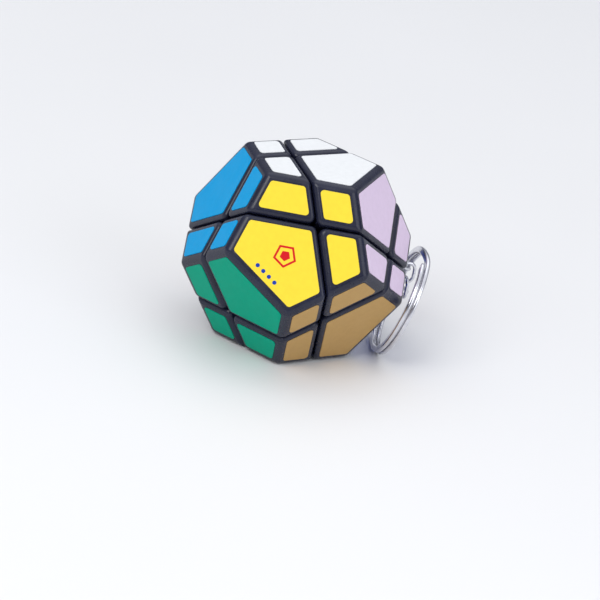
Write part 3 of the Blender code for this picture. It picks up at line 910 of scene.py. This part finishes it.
def cross_recess(top):
    """Two crossing bars that narrow downwards."""
    bm = bmesh.new()
    for wide, long in ((CROSS_WIDTH, CROSS_LENGTH), (CROSS_LENGTH, CROSS_WIDTH)):
        for vertex in bmesh.ops.create_cube(bm, size=1)["verts"]:
            share = CROSS_TAPER if vertex.co.z < 0 else 1.0
            x, y, z = vertex.co
            vertex.co = Vector((x * wide * share, y * long * share, top + z * 2 * CROSS_DEPTH))
    return finish_mesh("cross", bm)


def screw_mesh():
    """Pan-head screw with a cross recess."""
    bottom, top = SCREW_HEAD_BOTTOM, SCREW_HEAD_BOTTOM + SCREW_HEAD
    profile = [(0, bottom)]
    profile += round_edge(SCREW_HEAD_RADIUS, bottom, SCREW_HEAD_EDGE, top=False)
    profile += round_edge(SCREW_HEAD_RADIUS, top, SCREW_HEAD_CROWN, top=True, steps=8)
    profile += [(0, top)]
    shank = boolean(threaded_shank(), "UNION")
    return evaluated(turned(profile), [shank, boolean(cross_recess(top), use_self=True)])


def washer_mesh():
    low, high = WASHER_BOTTOM, WASHER_BOTTOM + WASHER_THICKNESS
    profile = [(0, low)]
    profile += round_edge(WASHER_RADIUS, low, WASHER_EDGE, top=False)
    profile += round_edge(WASHER_RADIUS, high, WASHER_EDGE, top=True)
    profile += [(0, high)]
    return evaluated(turned(profile), [boolean(cylinder(BORE_RADIUS, low - MM, high + MM))])


def spring_mesh():
    """Compression spring whose end coils lie almost flat."""
    steps = 40 * SPRING_TURNS
    rise = SPRING_HEIGHT / (2 * math.pi * SPRING_TURNS * SPRING_RADIUS)
    path, sections = [], []
    for i in range(steps + 1):
        share = i / steps
        angle = 2 * math.pi * SPRING_TURNS * share
        wave = SPRING_END_FLATTENING * math.sin(2 * math.pi * share) / (2 * math.pi)
        out = Vector((math.cos(angle), math.sin(angle), 0))
        tangent = Vector((-out.y, out.x, rise)).normalized()
        height = SPRING_BOTTOM + SPRING_HEIGHT * (share - wave)
        path.append(out * SPRING_RADIUS + Vector((0, 0, height)))
        sections.append(round_section(tangent, out, SPRING_WIRE, 12))
    return swept(path, sections, False)


def core_mesh():
    """Ball with a screw's bore on each axis."""
    modifiers = []
    for axis in AXES:
        bore = cylinder(BORE_RADIUS, BORE_BOTTOM, CORE_RADIUS + MM, 40)
        bore.transform(axis_frame(axis))
        modifiers.append(boolean(bore))
    return evaluated(ball(CORE_RADIUS), modifiers, PUZZLE)


def add_inner_parts():
    add_piece("core_ball_moulded", core_mesh(), "core_white", "core", ["core_ball"])
    meshes = {"axle_screw": screw_mesh(), "tension_spring": spring_mesh(), "washer": washer_mesh()}
    for number, axis in enumerate(AXES, 1):
        for name, mesh in meshes.items():
            own = mesh.copy()
            own.transform(PUZZLE @ axis_frame(axis))
            add_piece(f"{name}_{number}_turned", own, "steel", "core", [f"{name}_{number}"])
    for name, node in frame["nodes"].items():
        if name.endswith("_foot"):
            node.data.materials.clear()
            node.data.materials.append(MATERIALS["mechanism_black"])


# ---------------------------------------------------------------- studio

FLOOR_SIZE = 24
FLOOR_COLOURS = ((0.79, 0.79, 0.80), (0.82, 0.82, 0.83))
# Square lamps: place from the puzzle's centre, side, watts and colour.
LAMPS = {
    "key": ((-0.45, -0.65, 0.70), 0.6, 4.9, (1.0, 0.99, 0.97)),
    "fill": ((0.70, -0.60, 0.40), 0.7, 2.5, (0.96, 0.98, 1.0)),
    "top": ((0.05, 0.35, 0.8), 0.7, 1.0, (0.97, 0.98, 1.0)),
}
# The walls' brightness by the sine of the height above the horizon.
STUDIO_WALLS = [
    (0.13, (0.72, 0.74, 0.78)),
    (0.21, (0.12, 0.13, 0.16)),
    (0.34, (0.14, 0.15, 0.18)),
    (0.80, (1.00, 1.02, 1.06)),
]
CAMERA_LENS = 150            # mm, as the sensor's width is
CAMERA_SENSOR = 36
CAMERA_PLACE = Vector((-0.0098, -0.5112, 0.2023))  # from the puzzle's centre
CAMERA_AIM = Vector((0.0026, -0.0042, -0.0100))
CAMERA_ROLL = math.radians(11)  # the puzzle's up leans to the right in the picture


def add_floor():
    bm = bmesh.new()
    bmesh.ops.create_grid(bm, x_segments=8, y_segments=8, size=FLOOR_SIZE / 2)
    floor = bpy.data.objects.new("floor", finish_mesh("floor", bm))
    bpy.context.scene.collection.objects.link(floor)
    material, tree, shader = new_material("floor")
    tint(tree, shader, noise(tree, FLOOR_MOTTLE), *FLOOR_COLOURS)
    shader.inputs["Roughness"].default_value = 0.6
    floor.data.materials.append(material)


def add_lights():
    for name, (place, size, power, colour) in LAMPS.items():
        data = bpy.data.lights.new(name, "AREA")
        data.size = size
        data.energy = power
        data.color = colour
        light = bpy.data.objects.new(name, data)
        bpy.context.scene.collection.objects.link(light)
        light.location = CENTRE + Vector(place)
        light.rotation_euler = (-Vector(place)).to_track_quat("-Z", "Y").to_euler()


def add_studio_walls():
    """Surroundings that are bright overhead, with a dim band above a pale horizon."""
    world = bpy.data.worlds.new("studio")
    world.use_nodes = True
    tree = world.node_tree
    direction = tree.nodes.new("ShaderNodeTexCoord").outputs["Generated"]
    split = tree.nodes.new("ShaderNodeSeparateXYZ")
    tree.links.new(direction, split.inputs["Vector"])
    ramp = tree.nodes.new("ShaderNodeValToRGB")
    stops = ramp.color_ramp.elements
    for height, _ in STUDIO_WALLS[len(stops):]:
        stops.new(height)
    for stop, (height, colour) in zip(stops, STUDIO_WALLS):
        stop.position = height
        stop.color = (*colour, 1)
    tree.links.new(split.outputs["Z"], ramp.inputs["Fac"])
    tree.links.new(ramp.outputs["Color"], tree.nodes["Background"].inputs["Color"])
    bpy.context.scene.world = world


def add_camera():
    data = bpy.data.cameras.new("camera")
    data.lens = CAMERA_LENS
    data.sensor_width = CAMERA_SENSOR
    data.clip_start = 0.01
    data.clip_end = 20
    camera = bpy.data.objects.new("camera", data)
    bpy.context.scene.collection.objects.link(camera)
    look = (CAMERA_AIM - CAMERA_PLACE).to_track_quat("-Z", "Y").to_matrix().to_4x4()
    roll = Matrix.Rotation(CAMERA_ROLL, 4, "Z")
    camera.matrix_world = Matrix.Translation(CENTRE + CAMERA_PLACE) @ look @ roll
    bpy.context.scene.camera = camera


# ---------------------------------------------------------------- the scene

bpy.context.scene.view_settings.view_transform = "Standard"  # keeps the labels' full colour
add_camera()
add_lights()
add_studio_walls()
add_floor()
add_inner_parts()
shank_hole = eyelet_hole()
add_shells(shank_hole)
add_labels(shank_hole)
add_printed_motif()
add_eyelet()
add_links()
add_end_link()
add_split_ring()
